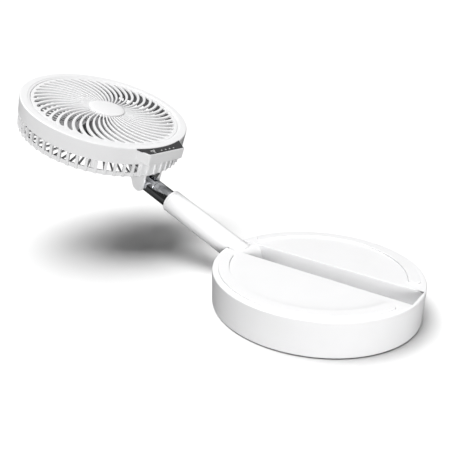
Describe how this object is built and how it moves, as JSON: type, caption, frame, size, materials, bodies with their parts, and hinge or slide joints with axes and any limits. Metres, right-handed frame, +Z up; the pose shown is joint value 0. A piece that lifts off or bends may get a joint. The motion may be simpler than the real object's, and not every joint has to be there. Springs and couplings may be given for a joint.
{
  "type": "folding telescopic desk fan",
  "caption": "Folding desk fan: a round weighted base with a groove, a hinged telescopic pole and a round caged fan head that stow flat on the base.",
  "frame": {"origin": "middle of the base's foot, on the surface that the fan stands on", "axes": "+Z up; the groove across the base lies along X, the pole leaves the base towards -X, and +Y is the side with the charging socket"},
  "size_m": [0.5028, 0.2008, 0.1987],
  "materials": {
    "white_plastic": "gloss",
    "blade_plastic": "satin",
    "dark_plastic": "matte",
    "rubber": "matte",
    "chrome": "polished",
    "steel": "satin",
    "can_steel": "satin",
    "copper": "satin",
    "magnet": "matte",
    "cell": "gloss",
    "board": "satin",
    "panel": "gloss",
    "light": "satin"
  },
  "bodies": {
    "base": {"base_shell": "white_plastic", "base_cover": "white_plastic", "non_slip_pad": "rubber", "rest_pad_front": "white_plastic", "rest_pad_rear": "white_plastic", "ballast_plate_left": "steel", "ballast_plate_right": "steel", "battery_cradle_left": "dark_plastic", "battery_cradle_right": "dark_plastic", "battery_cell_1": "cell", "battery_cell_2": "cell", "battery_cell_3": "cell", "battery_cell_4": "cell", "charge_board": "board", "usb_socket": "steel", "base_screw_1": "steel", "base_screw_2": "steel", "base_screw_3": "steel", "base_screw_4": "steel", "base_hinge_pin": "steel", "hinge_washer_left": "dark_plastic", "hinge_washer_right": "dark_plastic"},
    "pole": {"pole_knuckle": "white_plastic", "outer_tube": "white_plastic", "tube_collar": "white_plastic"},
    "mid_stage": {"mid_tube": "chrome", "mid_bush": "dark_plastic"},
    "inner_stage": {"inner_tube": "chrome", "inner_bush": "dark_plastic", "neck_block": "chrome", "head_hinge_pin": "steel"},
    "head": {"front_band": "white_plastic", "front_ring": "white_plastic", "front_grille": "white_plastic", "grille_cap": "white_plastic", "rear_cage": "white_plastic", "hinge_yoke": "white_plastic", "control_lens": "panel", "indicator_1": "light", "indicator_2": "light", "indicator_3": "light", "indicator_4": "light", "control_board": "board", "head_screw_1": "steel", "head_screw_2": "steel", "head_screw_3": "steel", "head_screw_4": "steel", "bearing_holder": "dark_plastic", "bearing_front": "steel", "bearing_rear": "steel", "motor_stator": "copper"},
    "rotor": {"motor_can": "can_steel", "magnet_ring": "magnet", "motor_shaft": "steel", "blade_nut": "steel", "fan_blade": "blade_plastic"},
    "button": {"power_button": "white_plastic"}
  },
  "joints": [
    {"name": "pole_fold", "type": "hinge", "parent": "base", "child": "pole", "pos_m": [-0.084, 0, 0.0216], "axis": [0, 1, 0], "range_deg": [0, 158.43]},
    {"name": "mid_slide", "type": "slide", "parent": "pole", "child": "mid_stage", "axis": [0.93, 0, -0.3676], "range_m": [-0.065, 0]},
    {"name": "inner_slide", "type": "slide", "parent": "mid_stage", "child": "inner_stage", "axis": [0.93, 0, -0.3676], "range_m": [-0.065, 0]},
    {"name": "head_fold", "type": "hinge", "parent": "inner_stage", "child": "head", "pos_m": [-0.234, 0, 0.0809], "axis": [0, 1, 0], "range_deg": [-180.01, 0.01]},
    {"name": "blade_spin", "type": "hinge", "parent": "head", "child": "rotor", "pos_m": [-0.29639, 0, 0.16245], "axis": [0.3676, 0, 0.93], "continuous": true},
    {"name": "power_press", "type": "slide", "parent": "head", "child": "button", "axis": [-0.3676, 0, -0.93], "range_m": [0, 0.0006], "stiffness_N_per_m": 800}
  ],
  "couplings": [
    {"joint": "head_fold", "follows": "pole_fold", "ratio": -1.1361}
  ]
}
